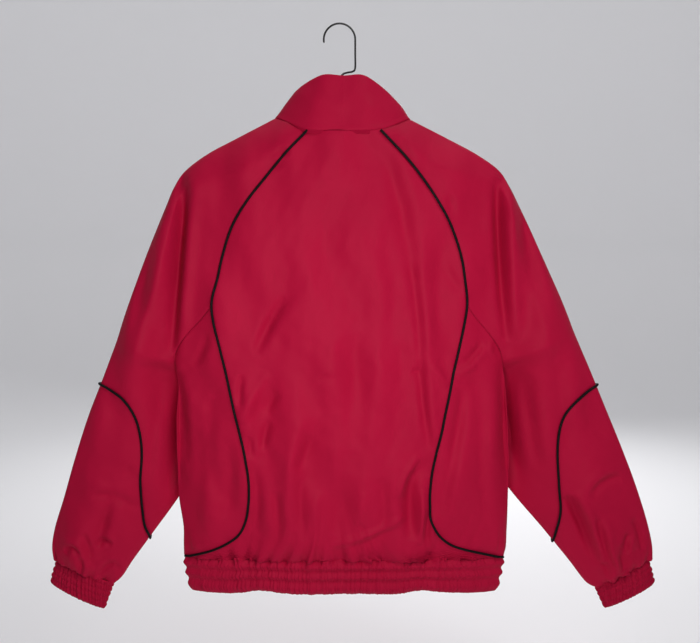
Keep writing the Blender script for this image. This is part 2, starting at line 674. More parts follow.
def front_base(side, share, height):
    """A front: rows slope from the raglan or side seam at the given height to the zip, because the neck is
    lower at the zip. Near the neck the points are drawn to the neck seam."""
    neck_turn = RAGLAN_TURN_FRONT + share * (1 - RAGLAN_TURN_FRONT)
    neck = collar_line(neck_turn, side, "seam")
    corner = collar_line(np.array([RAGLAN_TURN_FRONT, 1.0]), side, "seam")

    def plain(height):
        fade = np.clip((height - UNDERARM_TOP) / (NECK_HEIGHT - UNDERARM_TOP), 0, 1) ** 1.5
        raglan_x = back_seam(side, height) + fade * (corner[0, 0] - back_seam(side, NECK_HEIGHT))
        seam_x = np.where(height >= UNDERARM_TOP, raglan_x, front_seam(side, height))
        seam_z = height + fade * (corner[0, 2] - NECK_HEIGHT)
        down = (seam_z - corner[0, 2]) / (HEM_TOP - corner[0, 2])
        zip_z = corner[1, 2] + (HEM_TOP - corner[1, 2]) * down
        z = seam_z + share * (zip_z - seam_z)
        x = seam_x + share * (ZIP_X + side * ZIP_HALF_GAP - seam_x)
        turn = np.pi - trunk_turn(x, z)
        point = trunk_point(turn, z, side)
        point[..., 0] = x
        return point, turn

    points, turn = plain(height)
    top, _ = plain(np.full_like(height, NECK_HEIGHT))
    pull = (np.clip((height + 328) / 168, 0, 1) ** 2)[..., None]
    return points + pull * (neck - top), side * turn


def armhole(side, section, front):
    """The armhole's edge at a sleeve's section: down the raglan seam to section 8, then along the
    underarm."""
    height = np.interp(section, np.arange(9.0), RAGLAN_HEIGHTS)
    share = np.clip((section - 8) / 8, 0, 0.5)
    if front:
        raglan = front_base(side, np.zeros_like(section), height)[0]
        under = side_base(side, 1 - share, np.zeros_like(section))[0]
    else:
        raglan = back_base(np.full_like(section, 0.0 if side < 0 else 1.0), height)[0]
        under = side_base(side, share, np.zeros_like(section))[0]
    return np.where((section <= 8)[..., None], raglan, under)


def sleeve_base(side, section, columns):
    """A sleeve: every section is a smooth curve through seven points, from the back seam or the inner fold
    over the hollow and the crest to the outer fold and back the same way on the front."""
    table = SLEEVE_LEFT if side < 0 else SLEEVE_RIGHT
    key = column(table, SLEEVE_TABLE_COLUMNS, "section")
    values = {name: column(table, SLEEVE_TABLE_COLUMNS, name) for name in SLEEVE_TABLE_COLUMNS[1:]}

    def points(section):
        now = {name: curve_through(section, key, value) for name, value in values.items()}
        zero = np.zeros_like(section)
        outer = np.stack([now["outer_x"], zero, now["outer_z"]], -1)
        below = key >= ARMPIT_SECTION
        inner = np.stack(
            [curve_through(section, key[below], values[f"inner_{axis}"][below]) for axis in "xyz"], -1
        )
        above = (section <= ARMPIT_SECTION)[..., None]
        edge_at = np.minimum(section, ARMPIT_SECTION)
        start = np.where(above, armhole(side, edge_at, False), inner)
        finish = np.where(above, armhole(side, edge_at, True), inner)
        middle_y = np.where(section <= ARMPIT_SECTION, 0, now["inner_y"])

        def between(end, at, depth, way):
            place = end + now[at][..., None] * (outer - end)
            place[..., 1] = middle_y * (1 - now[at]) + way * now[depth]
            return place

        control = np.stack([
            start,
            between(start, "hollow_at", "hollow_depth", -1),
            between(start, "crest_at", "crest_depth", -1),
            outer,
            between(finish, "crest_at", "crest_depth", 1),
            between(finish, "hollow_at", "hollow_depth", 1),
            finish,
        ])
        stops = SLEEVE_STOPS
        tangent = np.empty_like(control)
        apart = (stops[2:] - stops[:-2]).reshape((-1,) + (1,) * start.ndim)
        tangent[1:-1] = (control[2:] - control[:-2]) / apart
        tangent[0] = (control[1] - control[0]) / stops[1]
        tangent[-1] = (control[-1] - control[-2]) / (stops[-1] - stops[-2])
        round_end = (control[1] - control[-2]) / (2 * stops[1])
        blend = np.clip(section - ARMPIT_SECTION, 0, 1)[..., None]
        tangent[0] += blend * (round_end - tangent[0])
        tangent[-1] += blend * (round_end - tangent[-1])
        i = np.clip(np.searchsorted(stops, columns, side="right") - 1, 0, len(stops) - 2)
        step = (stops[i + 1] - stops[i])[..., None]
        t = (columns - stops[i])[..., None] / step

        def pick(stack, which):
            return np.take_along_axis(stack, which[None, ..., None], axis=0)[0]

        start, end = (pick(control, i), pick(tangent, i)), (pick(control, i + 1), pick(tangent, i + 1))
        return hermite(t, step, *start, *end)

    made = points(section)
    neck_turn = RAGLAN_TURN_BACK + columns / LAST_COLUMN * (RAGLAN_TURN_FRONT - RAGLAN_TURN_BACK)
    pull = curve_through(section, np.array([0.0, 1, 2, 3]), np.array([1.0, 0.3, 0.03, 0]))[..., None]
    near_neck = section < 3
    if near_neck.any():
        neck = collar_line(neck_turn, side, "seam")
        made = made + np.where(near_neck[..., None], pull * (neck - points(np.zeros_like(section))), 0)
    return made


def forearm_sections(side, columns):
    way_out = 1 - np.abs(1 - columns / (LAST_COLUMN / 2))
    return read(FOREARM, FOREARM_COLUMNS, side_name(side), way_out, key="way_out")


_lines = {}


def forearm_line(side):
    """The piped curve on the back of the forearm as a line of X and Z."""
    if side not in _lines:
        columns = np.linspace(0, LAST_COLUMN / 2, 40)
        _lines[side] = sleeve_base(side, forearm_sections(side, columns), columns)[:, [0, 2]]
    return _lines[side]


# ---------------------------------------------------------------- meshes


def edge_shares(count):
    """Shares from 0 to 1 in count even steps, with two finer steps at each end for the rolled seam."""
    inner = np.arange(1, count)
    return np.concatenate([[0, 0.25, 0.6], inner, [count - 0.6, count - 0.25, count]]) / count


def rows_down(change, above, below):
    """Shares from 0 to 1 in even steps down to the change and closer even steps from there on."""
    return np.concatenate([np.linspace(0, change, above), np.linspace(change, 1, below)[1:]])


def grid_normals(grid, side=1):
    down = np.gradient(grid, axis=0)
    across = np.gradient(grid, axis=1)
    normal = side * np.cross(down, across)
    return normal / np.maximum(np.linalg.norm(normal, axis=-1, keepdims=True), 1e-9)


def lengths(grid, axis):
    step = np.linalg.norm(np.diff(grid, axis=axis), axis=-1)
    zero = np.zeros_like(np.take(step, [0], axis=axis))
    return np.concatenate([zero, np.cumsum(step, axis=axis)], axis=axis)


def roll_in(grid, side, left=True, right=True, top=True, bottom=True, strength=1.0):
    """The named edges turned in along the normal, as a seam does, over SEAM_ROLL_WIDTH."""
    across, down = lengths(grid, 1), lengths(grid, 0)
    far = []
    if left:
        far.append(across)
    if right:
        far.append(across[:, -1:] - across)
    if top:
        far.append(down)
    if bottom:
        far.append(down[-1:] - down)
    press = sum(np.exp(-((d / SEAM_ROLL_WIDTH) ** 2)) for d in far)
    return grid - (strength * SEAM_ROLL * np.minimum(press, 1))[..., None] * grid_normals(grid, side)


def drawn_back(grid, left=True, right=True, top=True, bottom=True, gap=SEAM_GAP):
    """The named edges moved towards the next row or column by half of the gap."""
    made = grid.copy()

    def towards(edge, inner):
        way = inner - edge
        return edge + way * (gap / 2 / np.maximum(np.linalg.norm(way, axis=-1, keepdims=True), 1e-6))

    if left:
        made[:, 0] = towards(grid[:, 0], grid[:, 1])
    if right:
        made[:, -1] = towards(grid[:, -1], grid[:, -2])
    if top:
        made[0] = towards(made[0], made[1])
    if bottom:
        made[-1] = towards(made[-1], made[-2])
    return made


def tucked(grid, side, edge):
    """The grid with its seam allowance on one edge: a step in along the normal, behind the neighbour's
    wall, and a step on past the seam."""
    turned = edge in ("left", "right")
    last = edge in ("bottom", "right")

    def brought(array):
        array = array.swapaxes(0, 1) if turned else array
        return array[::-1] if last else array

    rows, normal = brought(grid), brought(grid_normals(grid, side))[0]
    out = rows[0] - rows[4]
    on = np.cross(np.gradient(rows[0], axis=0), normal)
    on *= np.sign((on * out).sum(-1, keepdims=True)) / np.linalg.norm(on, axis=-1, keepdims=True)
    sunk = rows[0] + 0.2 * on - ALLOWANCE_DEPTH * normal
    far = rows[0] + ALLOWANCE * on - (ALLOWANCE_DEPTH + 0.6) * normal
    made = np.concatenate([far[None], sunk[None], rows])
    made = made[::-1] if last else made
    return made.swapaxes(0, 1) if turned else made


def mesh_object(name, points, faces, material, uv=None, soft=True):
    """A mesh object from points in millimetres and a list of faces; uv is one pair for each corner of each
    face."""
    mesh = bpy.data.meshes.new(name)
    mesh.from_pydata((points.reshape(-1, 3) * MM).tolist(), [], faces)
    if uv is not None:
        layer = mesh.uv_layers.new(name="UVMap")
        layer.data.foreach_set("uv", np.asarray(uv, np.float32).ravel())
    mesh.materials.append(material)
    if soft:
        mesh.shade_smooth()
    made = bpy.data.objects.new(name, mesh)
    bpy.context.scene.collection.objects.link(made)
    return made


def quads(index):
    return np.stack([index[:-1, :-1], index[1:, :-1], index[1:, 1:], index[:-1, 1:]], -1).reshape(-1, 4)


def sheet_object(name, grid, material, wall, joined_from=None, flip=False):
    """A wall from a grid of outer points, with a UV map in metres of cloth. From row joined_from down its
    first and last columns are one."""
    rows, columns = grid.shape[:2]
    index = np.arange(rows * columns).reshape(rows, columns)
    corner = quads(index)
    u, v = lengths(grid, 1), lengths(grid, 0).mean(1, keepdims=True)
    uv = np.stack(np.broadcast_arrays(u, v), -1).reshape(-1, 2) * MM
    if joined_from is not None:
        index[joined_from:, -1] = index[joined_from:, 0]
    used, inverse = np.unique(index, return_inverse=True)
    faces = quads(inverse.reshape(rows, columns))
    if flip:
        faces, corner = faces[:, ::-1], corner[:, ::-1]
    made = mesh_object(name, grid.reshape(-1, 3)[used], faces.tolist(), material, uv[corner.ravel()])
    if wall:
        solid = made.modifiers.new("wall", "SOLIDIFY")
        solid.thickness = wall * MM
        solid.offset = -1
    return made


def tube_object(name, path, radius, material, sides=12, closed=False):
    """A round tube along a path: a circle carried along it in the frame of its tangent and a turning
    normal. radius is one number or one for each point of the path."""
    path = np.asarray(path, float)
    if closed:
        tangent = np.roll(path, -1, 0) - np.roll(path, 1, 0)
    else:
        tangent = np.gradient(path, axis=0)
    tangent /= np.linalg.norm(tangent, axis=1, keepdims=True)
    reference = np.array([0.0, 1.0, 0.0]) if np.abs(tangent[:, 1]).max() < 0.9 else np.array([1.0, 0.0, 0.0])
    first = np.cross(tangent, reference)
    first /= np.linalg.norm(first, axis=1, keepdims=True)
    second = np.cross(tangent, first)
    angle = np.linspace(0, 2 * np.pi, sides, endpoint=False)
    radius = np.broadcast_to(np.asarray(radius, float), (len(path),))[:, None, None]
    ring = np.cos(angle)[None, :, None] * first[:, None] + np.sin(angle)[None, :, None] * second[:, None]
    points = path[:, None] + radius * ring
    index = np.arange(len(path) * sides).reshape(len(path), sides)
    around = np.concatenate([index, index[:, :1]], 1)
    if closed:
        around = np.concatenate([around, around[:1]], 0)
    faces = quads(around)[:, ::-1].tolist()
    if not closed:
        faces += [index[0].tolist(), index[-1, ::-1].tolist()]
    return mesh_object(name, points, faces, material)


def settle(piece, slot, *nodes, body="garment"):
    """The piece rides on its body, takes its record slot and stands for its nodes."""
    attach(piece, body)
    if nodes:
        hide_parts(*nodes)
    return piece


# ---------------------------------------------------------------- materials


def new_material(name, colour, roughness, metallic=0.0):
    made = bpy.data.materials.new(name)
    made.use_nodes = True
    shader = made.node_tree.nodes["Principled BSDF"]
    shader.inputs["Base Color"].default_value = (*colour, 1)
    shader.inputs["Roughness"].default_value = roughness
    shader.inputs["Metallic"].default_value = metallic
    return made, made.node_tree.nodes, made.node_tree.links, shader


def add_node(nodes, kind, sockets):
    """A new shader node with the values of its sockets."""
    made = nodes.new(f"ShaderNode{kind}")
    for name, value in sockets.items():
        made.inputs[name].default_value = value
    return made


def mixed_colour(nodes, links, shader, source, dark, light):
    mix = nodes.new("ShaderNodeMix")
    mix.data_type = "RGBA"
    mix.inputs["A"].default_value = (*dark, 1)
    mix.inputs["B"].default_value = (*light, 1)
    links.new(source, mix.inputs["Factor"])
    links.new(mix.outputs["Result"], shader.inputs["Base Color"])


def bumped(nodes, links, shader, source, strength, depth):
    bump = add_node(nodes, "Bump", {"Strength": strength, "Distance": depth})
    links.new(source, bump.inputs["Height"])
    links.new(bump.outputs["Normal"], shader.inputs["Normal"])


def woven_cloth(name, dark, light, roughness, thread=0.00042, depth=0.00006):
    """Fine plain weave: two rows of waves cross in the piece's own UV, in metres, with a faint slub along
    the threads and slow changes of tone."""
    made, nodes, links, shader = new_material(name, light, roughness)
    shader.inputs["Sheen Weight"].default_value = 0.03
    shader.inputs["Sheen Roughness"].default_value = 0.45
    shader.inputs["Sheen Tint"].default_value = (1.0, 0.42, 0.5, 1)
    shader.inputs["Specular IOR Level"].default_value = 0.07
    place = nodes.new("ShaderNodeUVMap")
    place.uv_map = "UVMap"
    threads = []
    for axis in ("X", "Y"):
        wave = add_node(nodes, "TexWave", {"Scale": 0.1 * math.pi / thread, "Distortion": 0.4})
        wave.bands_direction = axis
        links.new(place.outputs["UV"], wave.inputs["Vector"])
        threads.append(wave)
    cross = nodes.new("ShaderNodeMath")
    cross.operation = "MULTIPLY"
    links.new(threads[0].outputs["Fac"], cross.inputs[0])
    links.new(threads[1].outputs["Fac"], cross.inputs[1])
    slub = add_node(nodes, "TexNoise", {"Scale": 1.0, "Detail": 3})
    stretch = add_node(nodes, "Mapping", {"Scale": (900, 60, 1)})
    links.new(place.outputs["UV"], stretch.inputs["Vector"])
    links.new(stretch.outputs["Vector"], slub.inputs["Vector"])
    tone = add_node(nodes, "TexNoise", {"Scale": 9, "Detail": 4})
    solid = nodes.new("ShaderNodeTexCoord")
    links.new(solid.outputs["Object"], tone.inputs["Vector"])
    add = nodes.new("ShaderNodeMath")
    add.operation = "MULTIPLY_ADD"
    add.inputs[1].default_value = 0.35
    links.new(slub.outputs["Fac"], add.inputs[0])
    soft = nodes.new("ShaderNodeMath")
    soft.operation = "MULTIPLY"
    soft.inputs[1].default_value = 0.65
    links.new(tone.outputs["Fac"], soft.inputs[0])
    links.new(soft.outputs["Value"], add.inputs[2])
    mixed_colour(nodes, links, shader, add.outputs["Value"], dark, light)
    bumped(nodes, links, shader, cross.outputs["Value"], 0.35, depth)
    return made


def grained(name, colour, roughness, metallic=0.0, scale=900, depth=0.00004, spread=0.06, specular=0.5):
    """A fine even grain in Object coordinates, which also makes the roughness and the colour a little
    uneven."""
    made, nodes, links, shader = new_material(name, colour, roughness, metallic)
    shader.inputs["Specular IOR Level"].default_value = specular
    solid = nodes.new("ShaderNodeTexCoord")
    noise = add_node(nodes, "TexNoise", {"Scale": scale, "Detail": 3})
    links.new(solid.outputs["Object"], noise.inputs["Vector"])
    low = tuple(c * 0.82 for c in colour)
    high = tuple(min(c * 1.18, 1) for c in colour)
    mixed_colour(nodes, links, shader, noise.outputs["Fac"], low, high)
    rough = add_node(nodes, "MapRange", {"To Min": roughness - spread, "To Max": roughness + spread})
    links.new(noise.outputs["Fac"], rough.inputs["Value"])
    links.new(rough.outputs["Result"], shader.inputs["Roughness"])
    bumped(nodes, links, shader, noise.outputs["Fac"], 0.25, depth)
    return made


CLOTH_DARK = (0.40, 0.0035, 0.034)
CLOTH_LIGHT = (0.50, 0.0055, 0.044)
BAND_DARK = (0.38, 0.0035, 0.032)
BAND_LIGHT = (0.48, 0.0055, 0.042)

shell_cloth = woven_cloth("shell_cloth_weave", CLOTH_DARK, CLOTH_LIGHT, 0.56)
band_cloth = woven_cloth("band_cloth_weave", BAND_DARK, BAND_LIGHT, 0.6)
piping_satin = grained("piping_satin", (0.005, 0.004, 0.005), 0.62, scale=1600, specular=0.12)
thread_red = grained("sewing_thread", (0.40, 0.006, 0.036), 0.6, scale=2500, specular=0.1)
zip_tape_weave = grained("zip_tape_weave", (0.30, 0.006, 0.03), 0.75, scale=1800, depth=0.0001, specular=0.12)
zip_plastic = grained("zip_teeth_plastic", (0.26, 0.005, 0.026), 0.42, scale=700, specular=0.3)
enamel = grained("dark_enamel", (0.045, 0.04, 0.045), 0.32, metallic=0.6, scale=500)
hanger_finish = grained("hanger_moulding", (0.03, 0.03, 0.034), 0.42, scale=350)
wire_steel = grained("hook_steel", (0.06, 0.059, 0.06), 0.36, metallic=1.0, scale=1200)


# ---------------------------------------------------------------- panels


def pressed(points, outward, relief):
    """The points moved towards the camera's side or the front by the relief: outward is -1 on the back, 1
    on the front and between on a side edge."""
    made = points.copy()
    made[..., 1] += outward * relief
    return made


def gathered(points, turn, amount=1.0):
    """The points moved out from the trunk's ring by the hem's gathers, which the corded seams hold flat,
    except right at the hem band."""
    x, z = points[..., 0], points[..., 2]
    low = (z < HEM_TOP + 120) & (np.abs(turn) < np.pi / 2)
    held = np.ones(x.shape)
    for side in (-1, 1):
        distance, _ = path_place(x[low], z[low], back_seam_line(side))
        held[low] *= 1 - 0.9 * np.exp(-((distance / 9) ** 2)) * smooth((z[low] - HEM_TOP - 1) / 6)
    height = amount * held * hem_gather(turn, z)
    return points + height[..., None] * ring_outward(turn)


def make_back():
    columns, *rows = BACK_GRID
    share = edge_shares(columns)[None, :]
    down = rows_down(*rows)
    down = np.concatenate([[0, 0.002], down[1:-1], [0.998, 1]])
    height = (NECK_HEIGHT + down * (HEM_TOP - NECK_HEIGHT))[:, None]
    share, height = np.broadcast_arrays(share, height)
    points, turn = back_base(share, height)
    points = pressed(points, -1, back_relief(points[..., 0], points[..., 2]))
    points = gathered(points, turn)
    grid = drawn_back(roll_in(points, 1))
    piece = sheet_object("back_cloth", grid, shell_cloth, CLOTH_WALL)
    return settle(piece, "shell_cloth", "back_panel"), points


def side_weight(share):
    """-1 over the back of a side panel, 1 over its front and an even change round the side edge."""
    return 2 * smooth((share - 0.3) / 0.4) - 1


def make_side(side):
    columns, *rows = SIDE_GRID
    share, down = np.broadcast_arrays(edge_shares(columns)[None, :], rows_down(*rows)[:, None])
    points, turn = side_base(side, share, down)
    relief = np.where(
        share < 0.5, back_relief(points[..., 0], points[..., 2]), front_relief(points[..., 0], points[..., 2])
    )
    points = pressed(points, side_weight(share), relief)
    points = gathered(points, turn)
    rolled = roll_in(points, side, strength=smooth(np.abs(2 * share - 1) / 0.4))
    grid = tucked(drawn_back(rolled), side, "top")
    piece = sheet_object(f"side_cloth_{side_name(side)}", grid, shell_cloth, CLOTH_WALL, flip=side < 0)
    return settle(piece, "shell_cloth", f"side_panel_{side_name(side)}")


def make_front(side):
    columns, *rows = FRONT_GRID
    height = (NECK_HEIGHT + rows_down(*rows) * (HEM_TOP - NECK_HEIGHT))[:, None]
    share, height = np.broadcast_arrays(edge_shares(columns)[None, :], height)
    points, turn = front_base(side, share, height)
    near_zip = smooth((1 - share) / 0.1)
    points = pressed(points, 1, near_zip * front_relief(points[..., 0], points[..., 2]))
    points = gathered(points, turn, near_zip)
    edge = drawn_back(roll_in(points, side))
    piece = sheet_object(
        f"front_cloth_{side_name(side)}", tucked(edge, side, "left"), shell_cloth, CLOTH_WALL, flip=side < 0
    )
    return settle(piece, "shell_cloth", f"front_panel_{side_name(side)}"), edge


def sleeve_outward(section, columns):
    """How the relief acts on a sleeve: -1 on its back half and 1 on its front half, 0 on the outer fold,
    and at the armhole what the trunk's panels have there."""
    half = LAST_COLUMN / 2
    from_edge = half - np.abs(columns - half)
    outer = smooth((half - from_edge) / 2.5)
    share = np.clip((section - 8) / 8, 0, 0.5)
    at_edge = np.abs(side_weight(share))
    inner = at_edge + (1 - at_edge) * smooth(from_edge / 4)
    return np.where(columns < half, -1, 1) * outer * inner


def cuff_gather(section, columns, seed):
    """The gathers that the cuff pulls into the forearm, fading up the arm and at the inner fold."""
    up = np.maximum(CUFF_SECTION - section, 0)
    place = columns * 10.0
    small = ripple(place, 9.0, 0.6, seed, sharp=True)
    large = ripple(place, 22.0, 0.8, seed + 1)
    edge = smooth(columns / 1.0) * smooth((LAST_COLUMN - columns) / 1.0)
    puff = 1.8 * smooth(up / 0.2) * np.exp(-up / 0.8)
    return edge * (puff + 1.6 * small * np.exp(-up / 0.3) + 3.2 * large * np.exp(-((up / 0.85) ** 1.4)))


def sleeve_points(side, section, columns):
    points = sleeve_base(side, section, columns)
    x, z = points[..., 0], points[..., 2]
    relief = np.where(columns < LAST_COLUMN / 2, back_relief(x, z), front_relief(x, z))
    points = pressed(points, sleeve_outward(section, columns), relief)
    return points + cuff_gather(section, columns, SEED + 20 + side)[..., None] * grid_normals(points, side)


def make_sleeve(side):
    count, above, below = SLEEVE_GRID
    columns = edge_shares(count)[None, :] * LAST_COLUMN
    upper = np.linspace(0, ARMPIT_SECTION, above)[:, None]
    share = np.linspace(0, 1, below)[1:, None]
    curve = forearm_sections(side, columns)
    lower = ARMPIT_SECTION + share * (curve - ARMPIT_SECTION)
    section = np.concatenate([np.broadcast_to(upper, (len(upper), columns.shape[1])), lower])
    columns = np.broadcast_to(columns, section.shape)
    points = sleeve_points(side, section, columns)
    closed_from = len(upper) - 1
    rolled = roll_in(points, side, strength=smooth((ARMPIT_SECTION - section) / 2))
    tube = roll_in(points, side, left=False, right=False)
    keep = smooth(section - ARMPIT_SECTION + 1)[..., None]
    grid = rolled + keep * (tube - rolled)
    mean = (grid[closed_from:, 0] + grid[closed_from:, -1]) / 2
    grid[closed_from:, 0] = grid[closed_from:, -1] = mean
    edges = drawn_back(grid)
    ends = drawn_back(grid, left=False, right=False)
    edges[closed_from:] = ends[closed_from:]
    name = side_name(side)
    piece = sheet_object(f"sleeve_cloth_{name}", edges, shell_cloth, CLOTH_WALL, closed_from, flip=side < 0)
    return settle(piece, "shell_cloth", f"sleeve_{name}")


def make_forearm(side):
    count, *rows = FOREARM_GRID
    columns = edge_shares(count)[None, :] * LAST_COLUMN
    share = rows_down(*rows)[:, None]
    curve = forearm_sections(side, columns)
    section = curve + share * (CUFF_SECTION - curve)
    columns = np.broadcast_to(columns, section.shape)
    points = sleeve_points(side, section, columns)
    grid = roll_in(points, side, left=False, right=False)
    grid[:, 0] = grid[:, -1] = (grid[:, 0] + grid[:, -1]) / 2
    grid = drawn_back(grid, left=False, right=False, gap=0.8)
    name = side_name(side)
    piece = sheet_object(f"forearm_cloth_{name}", grid, shell_cloth, CLOTH_WALL, 0, flip=side < 0)
    return settle(piece, "shell_cloth", f"forearm_panel_{name}")


def make_collar():
    """The stand collar: straight lines from the neck seam to the rim, bowed out a little, with soft dents,
    and a lower edge that stands just over the seam."""
    columns, rows = COLLAR_GRID
    turns = edge_shares(columns)
    rise = np.linspace(0, 1, rows)[:, None, None]
    bow = 4 * rise * (1 - rise)

    def half(side):
        seam, rim = collar_line(turns, side, "seam"), collar_line(turns, side, "rim")
        way = np.stack([side * np.sin(np.pi * turns), -np.cos(np.pi * turns), 0 * turns], -1)
        over = COLLAR_OVER * np.exp(-((rise / 0.07) ** 2))
        return seam + rise * (rim - seam) + (2.0 * bow + over) * way

    grid = np.concatenate([half(-1)[:, ::-1], half(1)[:, 1:]], axis=1)
    grid[0, :, 2] += SEAM_GAP
    x, z = grid[..., 0], grid[..., 2]
    dents = undulation(x, z, SEED + 7, 12, 30, 110, 0.7, upright=0.7)
    dents = dents * (0.3 + 0.7 * bow[..., 0])
    grid = grid + dents[..., None] * grid_normals(grid, -1)
    grid = roll_in(grid, -1, left=False, right=False)
    piece = sheet_object("collar_cloth", tucked(grid, -1, "top"), shell_cloth, COLLAR_WALL, flip=True)
    return settle(piece, "shell_cloth", "collar"), grid


def ring_shares():
    """Even shares of the hem band's length, and the ring's angles there, from the zip round to the zip."""
    end = np.pi - HEM_OPENING
    turn = np.linspace(-end, end, 2401)
    length = ring_place(turn)
    return (length - length[0]) / (length[-1] - length[0]), turn


def hem_points_at(turn, z):
    """The hem band: the trunk's ring, puffed into three channels between the stitched rows, with close
    uneven gathers over the elastic. At its top it has the gathers of the panels above."""
    end = np.pi - HEM_OPENING
    out = read(HEM[::-1], HEM_COLUMNS, "out", z)
    turn, z, out = np.broadcast_arrays(turn, z, out)
    around = np.abs(turn)
    grid = trunk_at(turn, z)
    place = ring_place(turn)
    down = (HEM_TOP - z) / (HEM_TOP - HEM_BOTTOM)
    lean = 3.0 * np.sin(place / 17) + 2.0 * np.sin(place / 7 + 2)
    fine = ripple(place + lean * down, 5.6, 0.5, SEED + 8, sharp=True)
    medium = ripple(place - lean * down, 9.3, 0.6, SEED + 9)
    carried = hem_gather(turn, np.full_like(z, HEM_TOP))
    top = np.exp(-((down / 0.09) ** 2))
    full = 0.45 + 0.55 * out / 2.2
    near_zip = smooth((end - around) / 0.12)
    side = 0.1 + 0.9 * np.abs(np.cos(turn)) ** 0.6
    own = 2.1 * out + side * near_zip * (1.25 * full * fine + 0.45 * full * medium + 0.2 * carried)
    height = own + top * (near_zip * carried - own)
    outward = ring_outward(turn)
    grid = grid + height[..., None] * outward
    lift = sum(size * np.exp(-(((grid[..., 0] - at) / wide) ** 2)) for at, wide, size in HEM_LIFTS)
    back = smooth(1 - around / (np.pi / 2))
    grid[..., 2] += down * (back * lift + near_zip * 0.8 * np.sin(place / 23 + 1))
    return grid, outward


def make_hem():
    columns, rows = HEM_GRID
    turn = np.interp(np.linspace(0, 1, columns), *ring_shares())[None, :]
    z = np.concatenate([[-840.1, -841], np.linspace(-842.5, HEM_BOTTOM, rows)])[:, None]
    grid, _ = hem_points_at(turn, z)
    rolled = roll_in(grid, 1, left=False, right=False)
    piece = sheet_object("hem_band_cloth", tucked(rolled, 1, "top"), band_cloth, BAND_WALL)
    for number, height in enumerate(HEM_ROWS):
        line, outward = hem_points_at(turn, np.array([[height]]))
        rows = stitch_row(f"hem_stitches_{number}", line[0], outward[0], thread_red)
        settle(rows, "band_cloth")
    return settle(piece, "band_cloth", "hem_band"), grid


def cuff_points(side, share, angle):
    """A cuff: a flattened ring from its top to its bottom edge, puffed between the stitched rows, with
    close gathers that run a little aslant."""
    table = CUFF_LEFT if side < 0 else CUFF_RIGHT
    key = np.array([0.0, 0.5, 1.0])
    value = {}
    for name in CUFF_COLUMNS:
        listed = column(table, CUFF_COLUMNS, name)
        value[name] = curve_through(share, key, listed) + 2 * np.minimum(share, 0) * (listed[1] - listed[0])
    share, angle = np.broadcast_arrays(share, angle)
    place = angle / (2 * np.pi) * 230
    lean = 9 + 2.0 * np.sin(place / 17)
    random = SEED + 30 + side
    flat = smooth(angle / 0.25) * smooth((2 * np.pi - angle) / 0.25)
    gather = 1.6 * ripple(place + lean * share, 4.6, 0.4, random, sharp=True)
    gather = flat * (gather + 0.4 * ripple(place, 8.6, 0.5, random + 1))
    puff = np.abs(np.sin(CUFF_CHANNELS * np.pi * share)) ** 0.7
    wave = 1.5 * puff + (0.5 + 0.5 * puff) * gather
    outer_x, outer_z, inner_x, inner_z, depth = (value[name] for name in CUFF_COLUMNS)
    middle_x, middle_z = (outer_x + inner_x) / 2, (outer_z + inner_z) / 2
    half_x, half_z = (outer_x - inner_x) / 2, (outer_z - inner_z) / 2
    reach = 1 + wave / np.hypot(half_x, half_z)
    x = middle_x - half_x * np.cos(angle) * reach
    z = middle_z - half_z * np.cos(angle) * reach
    y = CUFF_MIDDLE_Y - (depth - 1 + wave) * np.sin(angle)
    points = np.stack([x, y, z], -1)
    points[:, -1] = points[:, 0]
    return points


def make_cuff(side):
    name = side_name(side)
    columns, rows = CUFF_GRID
    angle = np.linspace(0, 2 * np.pi, columns)[None, :]
    grid = cuff_points(side, np.linspace(-CUFF_TUCK, 1, rows)[:, None], angle)
    piece = sheet_object(f"cuff_cloth_{name}", grid, band_cloth, BAND_WALL, 0, flip=side < 0)
    for number in range(1, CUFF_CHANNELS):
        line = cuff_points(side, np.array([[number / CUFF_CHANNELS]]), angle)[0]
        outward = line - line.mean(0)
        outward[:, 1] *= 6
        outward /= np.linalg.norm(outward, axis=1, keepdims=True)
        settle(stitch_row(f"cuff_stitches_{name}_{number}", line, outward, thread_red), "band_cloth")
    return settle(piece, "band_cloth", f"cuff_{name}")


def evened(line, times):
    """The line with every inner point moved to the mean of itself and its neighbours, several times."""
    line = line.copy()
    for _ in range(times):
        line[1:-1] = (line[:-2] + 2 * line[1:-1] + line[2:]) / 4
    return line


def make_back_piping(side, points):
    """The black cord in the back's piped seam, laid on the panel's own edge, from the neck to the hem."""
    col = 0 if side < 0 else -1
    normal = evened(grid_normals(points, 1)[:, col], 6)
    normal /= np.linalg.norm(normal, axis=1, keepdims=True)
    path = evened(points[:, col], 3) + (PIPING_LIFT + PIPING_RADIUS) * normal
    path[0] += (path[1] - path[0]) * 0.5
    path[-1] += (path[-2] - path[-1]) * 0.3
    name = side_name(side)
    piece = tube_object(f"piping_cord_back_{name}", path, PIPING_RADIUS, piping_satin)
    return settle(piece, "piping", f"piping_back_{name}")


def make_forearm_piping(side):
    columns = np.linspace(0, LAST_COLUMN, 181)[None, :]
    curve = forearm_sections(side, columns)
    section = curve + np.array([-0.06, 0, 0.06])[:, None]
    points = sleeve_points(side, section, np.broadcast_to(columns, section.shape))
    normal = grid_normals(points, side)[1]
    path = points[1] + (PIPING_LIFT + PIPING_RADIUS) * normal
    path = evened(np.roll(path[:-1], 90, axis=0), 6)
    name = side_name(side)
    piece = tube_object(f"piping_cord_forearm_{name}", path, PIPING_RADIUS, piping_satin, closed=True)
    return settle(piece, "piping", f"piping_forearm_{name}")


# ---------------------------------------------------------------- sewing, zip, slider and pull tab


